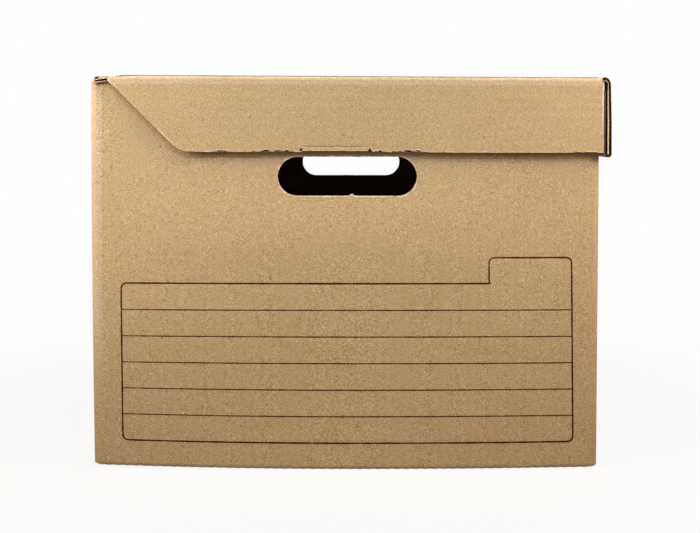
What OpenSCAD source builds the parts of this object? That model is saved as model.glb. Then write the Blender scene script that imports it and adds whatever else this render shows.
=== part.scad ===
// Archival box of corrugated board with a hinged lid, folded from one die-cut blank.
// +X points from the hinge side to the opening side, -Y out of the front end panel and +Z up.
// The origin lies under the middle of the closed box, in the plane that it stands on.

/* [Board] */
// Thickness of the single-wall corrugated board
board_t = 2.3; // [1.8:0.1:3.6]
// Thickness of each of the board's two flat liners
liner_t = 0.4; // [0.2:0.05:0.6]
// Depth to which a flute stands open where the board is cut along it
channel_d = 3; // [1:0.5:8]

/* [Body] */
// Outside width, from the hinge side to the opening side
body_w = 340; // [280:5:420]
// Outside depth, from one end panel to the other
body_d = 430; // [320:5:560]
// Overall height with the lid closed
body_h = 264.5; // [200:0.5:340]
// Inside radius of the upright corner folds, which run along the flutes
corner_in_r = 2.7; // [1:0.1:5]
// Inside radius of the folds that cross the flutes
fold_in_r = 0.6; // [0.2:0.1:2]

/* [Hand holes] */
// Length of each hand hole
hole_l = 93; // [80:1:120]
// Height of each hand hole
hole_h = 26; // [20:1:28]
// Distance from the top of the lid down to the middle of each hand hole
hole_drop = 67.5; // [66:0.5:90]
// Distance of each hand hole from the middle of its end, towards the opening side
hole_shift = 1.8; // [-5:0.2:5]

/* [Lid] */
// Height of the lid's flaps over the two end panels
skirt_h = 51; // [36:1:52]
// Distance from the hinge side to the slanted end of these flaps, at the top of the lid
skirt_start = 10; // [6:1:30]
// Slant of their hinge end against the top of the lid, in degrees
skirt_slant = 45; // [35:1:70]
// Radius between the slanted end and the lower edge
skirt_r = 20; // [5:1:40]
// Clearance between these flaps and the end panels
skirt_gap = 0.6; // [0.4:0.1:3]
// Height of the lid's double flap over the opening side
front_h = 54; // [40:1:80]
// Clearance between the opening side and the corner tabs in the lid
front_gap = 0.5; // [0.3:0.1:6]
// Distance from the top of the lid down to the free edge of the turned-up ply
inner_drop = 9; // [8:0.5:20]
// Air between the two plies of the double flap
ply_gap = 0.1; // [0.1:0.1:1]
// Slack in the roll of the lid over the turned-up ply
roll_gap = 0.3; // [0.2:0.1:3]
// Length of the corner tabs that join the lid's flaps
tab_l = 45; // [25:1:80]
// Clearance between the closed lid and the walls that it lies on
seat_gap = 0.3; // [0.2:0.1:1]

/* [Bottom] */
// Length of the end flaps under the floor
end_flap_l = 120; // [80:1:150]
// Slant of the free side of an end flap, in degrees
end_flap_slant = 30; // [10:1:40]
// Reach of each floor flap past the middle, at its lock
lock_reach = 30; // [15:1:60]
// Reach of each floor flap past the middle, at its outer end
lock_start = 8; // [0:1:14]
// Overhang of each hook of the lock
lock_hook = 14; // [6:1:24]
// Radius of the corners of the floor flaps
lock_r = 6; // [2:1:10]
// Clearance between the two floor flaps
lock_gap = 0.8; // [0.5:0.1:3]
// Clearance between the sides of the floor flaps and the corner folds
flap_gap = 0.5; // [0.3:0.1:5]

/* [Glued joint] */
// Width of the glue tab inside the opening side
glue_tab_w = 35; // [20:1:60]
// Slant of the ends of the glue tab and the corner tabs, in degrees
tab_slant = 10; // [0:1:20]
// Distance from the ends of the glue tab to the floor and to the top of the wall
glue_tab_inset = 4; // [1:0.5:15]
// Step from the back end panel to the raw edge of the opening side
joint_step = 1.5; // [0.5:0.1:3]

/* [Hidden] */
$fn = 96;

FRONT = -1;
BACK = 1;

// Depth to which a panel runs into its own fold, so that the two are one piece
weld = 0.05;
// Number of straight stretches in a curve of an outline
curve_steps = 9;

kraft = [0.79, 0.66, 0.5];
kraft_fold = [0.73, 0.6, 0.44];
kraft_lid = [0.83, 0.7, 0.54];

// Outside radii of the folds
corner_r = corner_in_r + board_t;
fold_r = fold_in_r + board_t;
turn_r = ply_gap / 2 + board_t;
roll_r = 2 * turn_r + roll_gap;

// Across the box, from the hinge side to the opening side
overall_w = body_w + front_gap + board_t + 2 * turn_r;
x_hinge = -overall_w / 2;
x_open = x_hinge + body_w;
x_mid = x_hinge + body_w / 2;
x_tab = x_open + front_gap;
x_inner = x_tab + board_t;
x_front = overall_w / 2;

// From the middle out to either end
y_end = body_d / 2;
y_skirt = y_end + skirt_gap + board_t;
y_floor_flap = y_end - corner_r - flap_gap;

// Up the box: the end flaps lie on the ground, and the floor flaps on them
z_floor = board_t;
z_top = body_h;
z_wall = body_h - board_t - seat_gap;
z_skirt = z_top - skirt_h;
z_skirt_fold = z_top - fold_r;

// Along the lid's flaps: where their fold starts, and where their lower edge does
x_skirt = x_hinge + skirt_start;
x_skirt_fold = x_skirt + fold_r / tan(skirt_slant);
x_skirt_low = x_skirt + skirt_h / tan(skirt_slant) + skirt_r * tan(skirt_slant / 2);

// A block between two opposite corners
module block(a, b) {
    low = [for (i = [0:2]) min(a[i], b[i])];
    high = [for (i = [0:2]) max(a[i], b[i])];
    translate(low)
        cube(high - low);
}

// A quarter of a ring around the origin, where x and y are positive
module quarter_ring(outer_r, inner_r) {
    difference() {
        intersection() {
            circle(r = outer_r);
            square(outer_r);
        }
        circle(r = inner_r);
    }
}

// An upright corner fold from z0 to z1: its bend is centred at [x, y] and faces dir_x, dir_y
module upright_fold(x, y, dir_x, dir_y, z0, z1) {
    translate([x, y, z0])
        mirror([dir_x < 0 ? 1 : 0, 0, 0])
            mirror([0, dir_y < 0 ? 1 : 0, 0])
                linear_extrude(z1 - z0)
                    quarter_ring(corner_r, corner_in_r);
}

// Stands a flat outline of x and z at y, with its thickness towards the middle
module stand_along_x(y) {
    side = sign(y);
    translate([0, side > 0 ? y : y + board_t, 0])
        rotate([90, 0, 0])
            linear_extrude(board_t)
                children();
}

// Runs a section of x and z from y0 to y1
module run_along_y(y0, y1) {
    translate([0, y1, 0])
        rotate([90, 0, 0])
            linear_extrude(y1 - y0)
                children();
}

// Runs a section of y and z from x0 to x1
module run_along_x(x0, x1) {
    translate([x0, 0, 0])
        rotate([90, 0, 90])
            linear_extrude(x1 - x0)
                children();
}

// Stands a flat outline of y and z at x, with its thickness towards the opening side
module stand_along_y(x) {
    run_along_x(x, x + board_t)
        children();
}

// Board whose flutes lie across its ends: the first child is its section of x and z,
// and the second the flutes that stand open at both cut ends
module open_ended_board() {
    difference() {
        run_along_y(-y_skirt, y_skirt)
            children(0);
        run_along_y(-y_skirt, -y_skirt + channel_d)
            children(1);
        run_along_y(y_skirt - channel_d, y_skirt)
            children(1);
    }
}

module hand_hole() {
    translate([x_mid + hole_shift, y_end + board_t, z_top - hole_drop])
        rotate([90, 0, 0])
            linear_extrude(body_d + 2 * board_t) {
                square([hole_l - hole_h, hole_h], center = true);
                for (end = [-1, 1])
                    translate([end * (hole_l - hole_h) / 2, 0])
                        circle(d = hole_h);
            }
}

// An end panel on one side, which ends at x1 towards the opening side
module end_panel(side, x1) {
    color(kraft)
        difference() {
            block([x_hinge + corner_r, side * y_end, fold_r], [x1, side * (y_end - board_t), z_wall]);
            hand_hole();
        }
}

module front_end_panel() {
    end_panel(FRONT, x_open - corner_r);
}

module back_end_panel() {
    end_panel(BACK, x_open - board_t - corner_r);
}

module hinge_side_wall() {
    y = y_end - corner_r;
    color(kraft)
        block([x_hinge, -y, z_floor + fold_r], [x_hinge + board_t, y, z_top - fold_r]);
}

// The raw edge at the back shows an open flute from top to bottom
module opening_side_wall() {
    y0 = -y_end + corner_r;
    y1 = y_end - joint_step;
    z0 = z_floor + fold_r;
    color(kraft)
        difference() {
            block([x_open - board_t, y0, z0], [x_open, y1, z_wall]);
            block([x_open - board_t + liner_t, y1 - channel_d, z0], [x_open - liner_t, y1, z_wall]);
        }
}

module hinge_corner(side) {
    color(kraft_fold)
        upright_fold(x_hinge + corner_r, side * (y_end - corner_r), -1, side, z_floor, z_wall);
}

module front_opening_corner() {
    color(kraft_fold)
        upright_fold(x_open - corner_r, -y_end + corner_r, 1, -1, z_floor, z_wall);
}

// The back end panel's last fold turns inside the opening side, where the tab is glued
module glue_tab() {
    x1 = x_open - board_t;
    y1 = y_end - corner_r;
    z0 = z_floor + board_t + glue_tab_inset;
    z1 = z_wall - glue_tab_inset;
    slant = glue_tab_w * tan(tab_slant);
    color(kraft_fold)
        upright_fold(x1 - corner_r, y1, 1, 1, z_floor, z_wall);
    color(kraft)
        stand_along_y(x1 - board_t)
            polygon([
                [y1 + weld, z0],
                [y1 + weld, z1],
                [y1 - glue_tab_w, z1 - slant],
                [y1 - glue_tab_w, z0 + slant],
            ]);
}

// The fold below an end panel, and the flap that it turns under the floor
module end_flap(side, x_free, x_glued) {
    to_free = sign(x_free - x_glued);
    y0 = y_end - fold_r;
    y1 = y0 - end_flap_l;
    x0 = min(x_free, x_glued);
    x1 = max(x_free, x_glued);
    color(kraft_fold)
        mirror([0, side < 0 ? 1 : 0, 0])
            run_along_x(x0, x1)
                translate([y0, fold_r])
                    mirror([0, 1, 0])
                        quarter_ring(fold_r, fold_in_r);
    color(kraft)
        linear_extrude(board_t)
            polygon([
                [x_free, side * (y0 + weld)],
                [x_free, side * y0],
                [x_free - to_free * end_flap_l * tan(end_flap_slant), side * y1],
                [x_glued + to_free * end_flap_l, side * y1],
                [x_glued, side * y0],
                [x_glued, side * (y0 + weld)],
            ]);
}

// The corner of an end flap past its diagonal crease, glued under the floor flap beside it
module glued_corner(side, x_free, x_glued) {
    to_free = sign(x_free - x_glued);
    y0 = y_end - fold_r;
    y1 = y0 - end_flap_l;
    color(kraft_fold)
        linear_extrude(board_t)
            polygon([
                [x_glued, side * y0],
                [x_glued + to_free * end_flap_l, side * y1],
                [x_glued, side * y1],
            ]);
}

module front_bottom_flap() {
    end_flap(FRONT, x_hinge + corner_r, x_open - corner_r);
}

module front_glued_corner() {
    glued_corner(FRONT, x_hinge + corner_r, x_open - corner_r);
}

module back_bottom_flap() {
    end_flap(BACK, x_open - board_t - corner_r, x_hinge + corner_r);
}

module back_glued_corner() {
    glued_corner(BACK, x_open - board_t - corner_r, x_hinge + corner_r);
}

// Outline of the hinge side's floor flap, which hooks into its twin at the middle: half of the
// clearance between the two is taken off all round, and its corners are rounded
module floor_flap_outline() {
    x0 = x_hinge + fold_r;
    x_behind = x0 - 2 * lock_r;
    y1 = y_floor_flap + lock_gap / 2;
    intersection() {
        offset(r = lock_r)
            offset(delta = -lock_r - lock_gap / 2)
                polygon([
                    [x_behind, -y1],
                    [x_mid + lock_start, -y1],
                    [x_mid + lock_reach, lock_hook],
                    [x_mid - lock_reach, -lock_hook],
                    [x_mid - lock_start, y1],
                    [x_behind, y1],
                ]);
        translate([x0 - weld, -y_end])
            square([body_w, body_d]);
    }
}

module hinge_side_floor_flap() {
    color(kraft_fold)
        run_along_y(-y_floor_flap, y_floor_flap)
            translate([x_hinge + fold_r, z_floor + fold_r])
                rotate(180)
                    quarter_ring(fold_r, fold_in_r);
    color(kraft)
        translate([0, 0, z_floor])
            linear_extrude(board_t)
                floor_flap_outline();
}

module opening_side_floor_flap() {
    translate([2 * x_mid, 0, 0])
        rotate([0, 0, 180])
            hinge_side_floor_flap();
}

// The board's crushed fold at the top of the hinge side, which bends as the lid opens
module lid_hinge_crease() {
    y = y_end - corner_r;
    color(kraft_fold)
        run_along_y(-y, y)
            translate([x_hinge + fold_r, z_top - fold_r])
                mirror([1, 0, 0])
                    quarter_ring(fold_r, fold_in_r);
}

module lid_top() {
    y = y_skirt - fold_r;
    color(kraft_lid)
        block([x_hinge + fold_r, -y, z_top - board_t], [x_front - roll_r, y, z_top]);
}

// Outline of a lid flap in x and z: its hinge end is slanted and rounded into the lower edge,
// where the board is cut along a flute
module skirt_outline() {
    centre = [x_skirt_low, z_skirt + skirt_r];
    round_end = [
        for (i = [curve_steps:-1:0])
            let (turn = skirt_slant * i / curve_steps)
                centre - skirt_r * [sin(turn), cos(turn)]
    ];
    polygon(concat(
        [[x_tab, z_skirt_fold + weld], [x_skirt_fold, z_skirt_fold + weld]],
        [[x_skirt_fold, z_skirt_fold]],
        round_end,
        [[x_tab, z_skirt]]
    ));
}

module skirt(side) {
    y_out = side * (y_skirt - liner_t);
    y_in = side * (y_skirt - board_t + liner_t);
    color(kraft_fold)
        mirror([0, side < 0 ? 1 : 0, 0])
            run_along_x(x_skirt_fold, x_tab)
                translate([y_skirt - fold_r, z_skirt_fold])
                    quarter_ring(fold_r, fold_in_r);
    color(kraft_lid)
        difference() {
            stand_along_x(side * y_skirt)
                skirt_outline();
            block([x_skirt_low, y_out, z_skirt - channel_d], [x_tab, y_in, z_skirt + channel_d]);
        }
}

// The tab turns inwards at the end of a lid flap and is glued to the turned-up ply
module corner_tab(side) {
    y0 = y_skirt - board_t;
    z0 = z_top - roll_r;
    z1 = z_skirt;
    slant = tab_l * tan(tab_slant);
    mirror([0, side < 0 ? 1 : 0, 0])
        color(kraft_fold) {
            translate([x_tab, y0, z1])
                linear_extrude(z0 - z1)
                    quarter_ring(board_t, 0);
            stand_along_y(x_tab)
                polygon([
                    [y0 + weld, z0],
                    [y0 + weld, z1],
                    [y0 - tab_l, z1 + slant],
                    [y0 - tab_l, z0 - slant],
                ]);
        }
}

// The roll over the lid's edge, inset from both faces of the board
module roll_section(inset) {
    translate([x_front - roll_r, z_top - roll_r])
        quarter_ring(roll_r - inset, roll_r - board_t + inset);
}

// The outer ply below the roll
module outer_ply_section(inset) {
    z0 = z_top - front_h + turn_r;
    translate([x_front - board_t + inset, z0])
        square([board_t - 2 * inset, front_h - turn_r - roll_r + weld]);
}

module lid_opening_flap() {
    color(kraft_lid)
        open_ended_board() {
            union() {
                roll_section(0);
                outer_ply_section(0);
            }
            union() {
                roll_section(liner_t);
                outer_ply_section(liner_t);
            }
        }
}

// Half of a ring: the board turns right round under the double flap
module turn_section(inset) {
    translate([x_front - turn_r, z_top - front_h + turn_r])
        difference() {
            circle(r = turn_r - inset);
            circle(r = ply_gap / 2 + inset);
            translate([-turn_r, 0])
                square(2 * turn_r);
        }
}

module lid_flap_turn() {
    color(kraft_fold)
        open_ended_board() {
            turn_section(0);
            turn_section(liner_t);
        }
}

module inner_ply_section(inset) {
    translate([x_inner + inset, z_top - front_h + turn_r])
        square([board_t - 2 * inset, front_h - turn_r - inner_drop]);
}

module lid_flap_inner_ply() {
    color(kraft)
        open_ended_board() {
            inner_ply_section(0);
            inner_ply_section(liner_t);
        }
}

front_end_panel();
back_end_panel();
hinge_side_wall();
opening_side_wall();
hinge_corner(FRONT);  // front_hinge_corner
front_opening_corner();
hinge_corner(BACK);  // back_hinge_corner
glue_tab();
front_bottom_flap();
back_bottom_flap();
front_glued_corner();
back_glued_corner();
hinge_side_floor_flap();
opening_side_floor_flap();
lid_hinge_crease();
lid_top();
skirt(FRONT);  // lid_front_skirt
skirt(BACK);  // lid_back_skirt
corner_tab(FRONT);  // lid_front_corner_tab
corner_tab(BACK);  // lid_back_corner_tab
lid_opening_flap();
lid_flap_turn();
lid_flap_inner_ply();
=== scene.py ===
# %% [markdown]
# # An archival box of corrugated board
# The real box is one flat blank of single-wall corrugated board. A press cuts its outline,
# crushes its fold lines, prints a ruled grid on one end, and then it is folded up and glued.
# This lesson makes it in the same order: first the sizes, then the camera and the light, then
# the papers, then a way to fold a flat outline along a path, and at last every panel in turn.

# %% Load the frame
import math

import bmesh
import bpy
import numpy as np
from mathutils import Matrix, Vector


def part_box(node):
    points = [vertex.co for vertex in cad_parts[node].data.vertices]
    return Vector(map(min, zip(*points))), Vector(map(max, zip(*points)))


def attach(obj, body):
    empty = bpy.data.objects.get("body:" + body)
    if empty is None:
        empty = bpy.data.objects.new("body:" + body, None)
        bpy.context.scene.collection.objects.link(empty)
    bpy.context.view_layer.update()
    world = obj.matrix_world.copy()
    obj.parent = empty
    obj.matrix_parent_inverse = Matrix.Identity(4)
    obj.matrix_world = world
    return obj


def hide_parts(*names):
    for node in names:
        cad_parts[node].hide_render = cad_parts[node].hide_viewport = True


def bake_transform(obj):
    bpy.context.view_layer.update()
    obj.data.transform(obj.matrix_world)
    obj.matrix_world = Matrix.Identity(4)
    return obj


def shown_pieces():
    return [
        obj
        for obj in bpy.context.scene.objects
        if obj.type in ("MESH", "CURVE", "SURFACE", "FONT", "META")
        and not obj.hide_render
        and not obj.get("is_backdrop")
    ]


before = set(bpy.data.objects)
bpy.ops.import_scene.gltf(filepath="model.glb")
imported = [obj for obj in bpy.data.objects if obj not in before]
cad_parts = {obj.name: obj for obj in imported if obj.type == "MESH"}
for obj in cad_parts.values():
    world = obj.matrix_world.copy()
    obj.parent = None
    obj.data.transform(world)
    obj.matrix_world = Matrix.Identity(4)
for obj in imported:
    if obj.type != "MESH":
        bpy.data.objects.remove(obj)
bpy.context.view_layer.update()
scene = bpy.context.scene


def mm(*lengths):
    """Lengths in metres as rounded millimetres, to print."""
    return [round(1000 * float(value), 2) for value in lengths]


# %% [markdown]
# ## Sizes
# The frame already says where every panel lies. Its lengths could be typed in again, but then a
# change to the solids would leave this lesson behind, so each one is read from the box of a node.
# The few sizes that a box can't say, such as the thickness of a liner, get a name of their own.

# %% Sizes of the box, in metres
X_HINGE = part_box("hinge_side_wall")[0].x
X_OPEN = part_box("opening_side_wall")[1].x
X_MIDDLE = (X_HINGE + X_OPEN) / 2
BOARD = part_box("hinge_side_wall")[1].x - X_HINGE
Y_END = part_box("back_end_panel")[1].y
Y_RAW_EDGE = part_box("opening_side_wall")[1].y
CORNER_R = Y_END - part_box("hinge_side_wall")[1].y
FOLD_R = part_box("front_end_panel")[0].z
Z_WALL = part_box("front_end_panel")[1].z
Z_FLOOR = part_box("hinge_side_floor_flap")[0].z
LINER = 0.0004
PITCH = 0.0063
FLUTE_PAPER = 0.00028
print("thickness of the board and radius of a corner in mm:", mm(BOARD, CORNER_R))

# %% [markdown]
# The lid is a second body and reaches a few millimetres past the first. Its own sizes are needed
# early, because the way the box has settled depends on where the lid begins and ends.

# %% Sizes of the lid, in metres
skirt_low, skirt_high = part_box("lid_back_skirt")
X_SKIRT, X_TAB = skirt_low.x, skirt_high.x
Y_SKIRT, Z_SKIRT = skirt_high.y, skirt_low.z
Z_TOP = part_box("lid_top")[1].z
X_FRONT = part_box("lid_opening_flap")[1].x
print("width of the lid and height of its end flaps in mm:", mm(2 * Y_SKIRT, Z_TOP - Z_SKIRT))

# %% [markdown]
# ## Camera
# The box is seen straight from its end, from just below the level of its lid. A long lens from
# about a metre away keeps the sides of the box nearly parallel. The view looks down a little, and
# a small upward shift of the lens keeps the upright edges from leaning together.

# %% Camera
FOCAL, SENSOR = 73.5, 36.0
CAMERA_AT, CAMERA_SHIFT = (0.0059, -1.1655, 0.2287), -0.09
LOOKS_DOWN, TURNS_LEFT = 2.996, 0.367
camera = bpy.data.objects.new("camera", bpy.data.cameras.new("camera"))
scene.collection.objects.link(camera)
camera.data.lens = FOCAL
camera.data.sensor_width = SENSOR
camera.data.shift_y = CAMERA_SHIFT
camera.location = CAMERA_AT
camera.rotation_euler = (math.radians(90 - LOOKS_DOWN), 0.0, math.radians(TURNS_LEFT))
scene.camera = camera
scene.view_settings.view_transform = "Standard"
print("lens", FOCAL, "mm, at", [round(value, 3) for value in camera.location], "m")

# %% [markdown]
# ## Small helpers
# A node tree can be clicked together by hand or written as code. In code, each node has to be
# created, set and linked. One helper does all three, and a few more give the nodes that are used
# again and again, so that every pattern below reads like a formula.

# %% Helpers for nodes and meshes
def new_material(name):
    """An empty node material and its tree."""
    made = bpy.data.materials.new(name)
    made.use_nodes = True
    made.node_tree.nodes.clear()
    return made, made.node_tree


def add(tree, kind, inputs=None, **settings):
    """Adds a node, sets its properties, and then sets or links its inputs."""
    node = tree.nodes.new(kind)
    for key, value in settings.items():
        setattr(node, key, value)
    for key, value in (inputs or {}).items():
        if isinstance(value, bpy.types.NodeSocket):
            tree.links.new(value, node.inputs[key])
        else:
            node.inputs[key].default_value = value
    return node


def calc(tree, operation, *values):
    """The result of a Math node."""
    return add(tree, "ShaderNodeMath", dict(enumerate(values)), operation=operation).outputs[0]


def remap(tree, value, to_low, to_high, from_low=0.0, from_high=1.0, **settings):
    """A value, carried over from one range to another."""
    node = add(tree, "ShaderNodeMapRange", {"Value": value, "To Min": to_low, "To Max": to_high}, **settings)
    node.inputs["From Min"].default_value = from_low
    node.inputs["From Max"].default_value = from_high
    return node.outputs[0]


def blend(tree, factor, colour, other):
    """A colour that turns into another one as the factor rises from 0 to 1."""
    return add(tree, "ShaderNodeMix", {"Factor": factor, "A": colour, "B": other},
               data_type="RGBA").outputs[2]


def new_mesh(name, places, faces, *materials):
    """A mesh from points and faces, with its materials."""
    mesh = bpy.data.meshes.new(name)
    mesh.from_pydata(np.asarray(places, float).tolist(), [], faces)
    for material in materials:
        mesh.materials.append(material)
    return mesh


def show(name, thing):
    """A new object in the scene."""
    made = bpy.data.objects.new(name, thing)
    scene.collection.objects.link(made)
    return made


print("helpers for nodes:", [helper.__name__ for helper in (add, calc, remap, blend)])

# %% [markdown]
# ## Floor and light
# The floor is a wide pale sheet. The background could be made bright with strong lamps, but their
# light would wash over the box. Instead the Light Path node tells rays that are looked along from
# rays that carry light: the first see the floor and the backdrop as nearly white, and the second
# a dull floor. It still takes the shadow of the box, most of all close to it.

# %% Floor
def seen_directly(tree):
    """1 for rays from the camera, a mirror or a glass, and 0 for rays that carry light."""
    rays = add(tree, "ShaderNodeLightPath").outputs
    mirrored = calc(tree, "MAXIMUM", rays["Is Camera Ray"], rays["Is Glossy Ray"])
    return calc(tree, "MAXIMUM", mirrored, rays["Is Transmission Ray"])


FLOOR_HALF, FLOOR_Z = 4.0, -0.0001
FLOOR_TONES, FLOOR_BOUNCE = (0.80, 0.86), 0.4
FLOOR_GLOW, GLOW_NEAR, GLOW_FAR = 0.89, 0.25, 0.60

floor_paint, tree = new_material("floor_paint")
grain = add(tree, "ShaderNodeTexNoise", {"Scale": 3.0, "Detail": 3.0})
seen = seen_directly(tree)
shade = calc(tree, "MULTIPLY", remap(tree, grain.outputs["Fac"], *FLOOR_TONES),
             remap(tree, seen, FLOOR_BOUNCE, 1.0))
matt = add(tree, "ShaderNodeBsdfPrincipled", {"Base Color": shade, "Roughness": 0.9})
glow = add(tree, "ShaderNodeEmission", {"Color": (1, 1, 1, 1), "Strength": 1.0})
place = add(tree, "ShaderNodeTexCoord").outputs["Object"]
away = add(tree, "ShaderNodeVectorMath", {0: place}, operation="LENGTH").outputs["Value"]
fade = remap(tree, away, FLOOR_GLOW, 1.0, GLOW_NEAR, GLOW_FAR, interpolation_type="SMOOTHSTEP")
mixed = add(tree, "ShaderNodeMixShader", {0: calc(tree, "MULTIPLY", seen, fade), 1: matt.outputs[0],
                                          2: glow.outputs[0]})
add(tree, "ShaderNodeOutputMaterial", {"Surface": mixed.outputs[0]})

corners = [(-FLOOR_HALF, -FLOOR_HALF, 0), (FLOOR_HALF, -FLOOR_HALF, 0),
           (FLOOR_HALF, FLOOR_HALF, 0), (-FLOOR_HALF, FLOOR_HALF, 0)]
floor = show("floor", new_mesh("floor", corners, [(0, 1, 2, 3)], floor_paint))
floor.location.z = FLOOR_Z
floor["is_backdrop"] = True
print("floor:", 2 * FLOOR_HALF, "m wide")

# %% [markdown]
# A studio is never quite dark between its lamps. The world could be an image of a room, but here a
# faint warm tone is enough for the light, and rays that are looked along see plain white.

# %% World
AMBIENT, AMBIENT_COLOUR = 0.07, (1.0, 0.78, 0.58, 1)
world = bpy.data.worlds.new("studio")
scene.world = world
world.use_nodes = True
tree = world.node_tree
tree.nodes.clear()
lit = add(tree, "ShaderNodeBackground", {"Color": AMBIENT_COLOUR, "Strength": AMBIENT})
white = add(tree, "ShaderNodeBackground", {"Color": (1, 1, 1, 1), "Strength": 1.0})
mixed = add(tree, "ShaderNodeMixShader", {0: seen_directly(tree), 1: lit.outputs[0], 2: white.outputs[0]})
add(tree, "ShaderNodeOutputWorld", {"Surface": mixed.outputs[0]})
print("world:", world.name, "at", AMBIENT)

# %% [markdown]
# The main light is a big warm softbox overhead, a little in front of the box. In front stands a
# long cool strip whose grid keeps its beam narrow: it aims at the lid and fades out down the end
# panel. Two small warm ones skim over the bulging panel from the sides, which makes its sides
# brighter than its middle. One at the back lights the far side. A single large lamp would be
# simpler, but it would make the panel look flat.

# %% Softboxes
def softbox(name, place, target, size, power, colour=(1.0, 1.0, 1.0), beam=180):
    """An area light at a place, turned to face a target, with a beam of some degrees."""
    lamp = bpy.data.lights.new(name, "AREA")
    lamp.shape = "RECTANGLE"
    lamp.size, lamp.size_y = size
    lamp.energy = power
    lamp.color = colour
    lamp.spread = math.radians(beam)
    made = show(name, lamp)
    made.location = place
    aim = Vector(target) - Vector(place)
    made.rotation_euler = aim.to_track_quat("-Z", "Y").to_euler()


softbox("key_strip", (0.0, -1.0, 1.05), (0.0, -Y_END, 0.36), (1.2, 0.2), 0.74, (0.45, 0.75, 1.0), 30)
softbox("skim_left", (-0.5, -0.42, 0.42), (-0.16, -Y_END, 0.24), (0.12, 0.3), 0.37, (1.0, 0.88, 0.68), 60)
softbox("skim_right", (0.5, -0.42, 0.42), (0.16, -Y_END, 0.24), (0.12, 0.3), 0.30, (1.0, 0.84, 0.6), 60)
softbox("overhead", (0.0, -0.6, 1.3), (0.0, -0.2, 0.22), (1.2, 0.7), 10.2, (1.0, 0.885, 0.65))
softbox("back_fill", (0.5, 1.9, 1.0), (0.0, 0.2, 0.15), (1.2, 1.0), 17.0)

# %% [markdown]
# ## Papers
# Kraft paper is brown because it isn't bleached. Up close it is mottled, with soft clouds from the
# paper machine, short fibres, and a few dark and pale specks of recycled pulp. It could be painted
# with one noise, but a single noise looks like plaster. So clouds, patches, blots, grit and fibres
# each change the tone by a small share, and two kinds of speck lie on top. The patterns read
# Object coordinates, so they run on from one panel to the next.

# %% Patterns
def noise(tree, where, scale, detail, **more):
    """The outputs of a noise texture."""
    inputs = {"Vector": where, "Scale": scale, "Detail": detail, **more}
    return add(tree, "ShaderNodeTexNoise", inputs).outputs


def speckle(tree, where, scale, radius, share):
    """Small spots: 1 inside a spot and 0 outside, with a spot in only a share of the cells."""
    cells = add(tree, "ShaderNodeTexVoronoi", {"Vector": where, "Scale": scale, "Randomness": 1.0})
    near = remap(tree, cells.outputs["Distance"], 0.0, 1.0, radius, radius / 2)
    pick = add(tree, "ShaderNodeSeparateColor", {"Color": cells.outputs["Color"]})
    return calc(tree, "MULTIPLY", near, calc(tree, "LESS_THAN", pick.outputs["Red"], share))


def weighted_sum(tree, total, terms):
    """total plus each value, less a half, times its weight."""
    for value, weight in terms:
        total = calc(tree, "MULTIPLY_ADD", calc(tree, "SUBTRACT", value, 0.5), weight, total)
    return total


# %% [markdown]
# One function makes every paper of the box. Three attributes of the meshes steer it: where a point
# lay on the flat blank combs the fibres, how near it is to the tip of a flute paints faint stripes of
# shade between the flutes, and how far it is from a fold turns crushed liner paler, partly as painted
# highlight. They could be painted on as images, but as attributes they follow every change of a size.

# %% A paper
CREASE_FULL = 0.93
GRIT_SHARE, GREYING = 4.2, 0.7
RELIEF, RELIEF_HIGH = 0.5, 0.00006
FIBRES_ALONG, FIBRES_ACROSS = 420.0, 1500.0
SPECKS = ((150.0, 0.11, 0.30, 0.75, (0.13, 0.075, 0.04, 1)),
          (190.0, 0.09, 0.12, 0.50, (0.78, 0.64, 0.46, 1)))


def paper(name, colour, mottle=0.48, cloud=0.07, fibre=0.34, flute_shade=0.02, specks=1.0, sheen=0.28,
          at_folds=None):
    """A mottled, fibrous paper; its flute share paints shade between the flutes, and folds may turn it
    paler.
    """
    made, tree = new_material(name)
    where = add(tree, "ShaderNodeTexCoord").outputs["Object"]
    blank, tip, fold = (add(tree, "ShaderNodeAttribute", attribute_name=kind).outputs
                        for kind in ("blank", "tip", "from_fold"))
    clouds = noise(tree, where, 16.0, 3.0)
    patches = noise(tree, where, 90.0, 2.0)["Fac"]
    blots = noise(tree, where, 620.0, 4.0, Roughness=0.62)["Fac"]
    grit = noise(tree, where, 2100.0, 2.0)["Fac"]
    combed = add(tree, "ShaderNodeMapping", {"Vector": blank["Vector"],
                                             "Scale": (FIBRES_ALONG, FIBRES_ACROSS, 1.0)})
    fibres = noise(tree, combed.outputs[0], 1.0, 3.0, Roughness=0.7, Distortion=0.6)["Fac"]
    # The tip term darkens the paper between the flutes: painted shade in faint stripes.
    value = weighted_sum(tree, 1.0, [(clouds["Fac"], cloud), (patches, cloud), (blots, mottle),
                                     (grit, GRIT_SHARE * mottle), (fibres, fibre), (tip["Fac"], flute_shade)])
    crushed = remap(tree, fold["Fac"], 0.0, 1.0, 1.0, CREASE_FULL)
    tone = add(tree, "ShaderNodeHueSaturation", {
        "Hue": remap(tree, clouds["Color"], 0.494, 0.506),
        "Saturation": calc(tree, "MULTIPLY_ADD", value, -GREYING, 1 + GREYING), "Value": value,
        "Color": blend(tree, crushed, (*colour, 1), (*(at_folds or colour), 1))}).outputs[0]
    for scale, radius, share, cover, speck in SPECKS:
        spots = speckle(tree, where, scale, radius, share * specks)
        tone = blend(tree, calc(tree, "MULTIPLY", spots, cover), tone, speck)
    relief = weighted_sum(tree, 0.5, [(blots, 1.0), (fibres, 0.7)])
    bump = add(tree, "ShaderNodeBump", {"Height": relief, "Strength": RELIEF, "Distance": RELIEF_HIGH})
    shader = add(tree, "ShaderNodeBsdfPrincipled", {
        "Base Color": tone, "Roughness": remap(tree, fibres, 0.78, 0.96),
        "Normal": bump.outputs[0], "Specular IOR Level": sheen})
    add(tree, "ShaderNodeOutputMaterial", {"Surface": shader.outputs[0]})
    return made
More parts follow.
